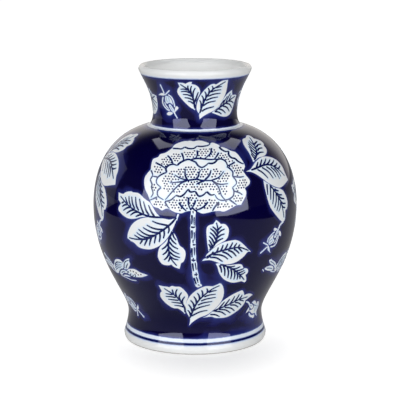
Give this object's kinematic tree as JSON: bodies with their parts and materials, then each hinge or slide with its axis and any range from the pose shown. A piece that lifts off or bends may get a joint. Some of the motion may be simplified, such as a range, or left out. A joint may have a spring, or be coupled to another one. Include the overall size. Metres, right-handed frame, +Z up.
{
  "type": "glazed pottery vase",
  "caption": "Blue and white glazed baluster vase with a flared neck, rolled white lip and white banded foot, painted with a peony, leaves and butterflies, for cut flowers.",
  "frame": {"origin": "centre of the foot, on the surface that the vase stands on", "axes": "+Z up along the axis of the vase, the painted front with the peony faces -Y, +X to the right as the front is seen"},
  "size_m": [0.1768, 0.1768, 0.24],
  "materials": {
    "clay": "matte, fired and unglazed",
    "slip": "matte, fired",
    "white_glaze": "glossy off-white glaze",
    "pale_glaze": "glossy pale blue-white glaze",
    "blue_glaze": "glossy deep cobalt glaze"
  },
  "bodies": {
    "root": {"foot_ring": "clay", "base_slab": "clay", "lower_body": "clay", "upper_body": "clay", "neck": "clay", "rolled_lip": "clay", "foot_slip_joint": "slip", "base_slip_joint": "slip", "belly_slip_joint": "slip", "shoulder_slip_joint": "slip", "lip_slip_joint": "slip", "foot_glaze": "white_glaze", "foot_line_glaze": "blue_glaze", "foot_stripe_glaze": "pale_glaze", "body_glaze": "blue_glaze", "crease_line_glaze": "pale_glaze", "neck_glaze": "blue_glaze", "lip_glaze": "white_glaze", "lining_glaze": "white_glaze", "base_glaze": "white_glaze"}
  },
  "joints": []
}
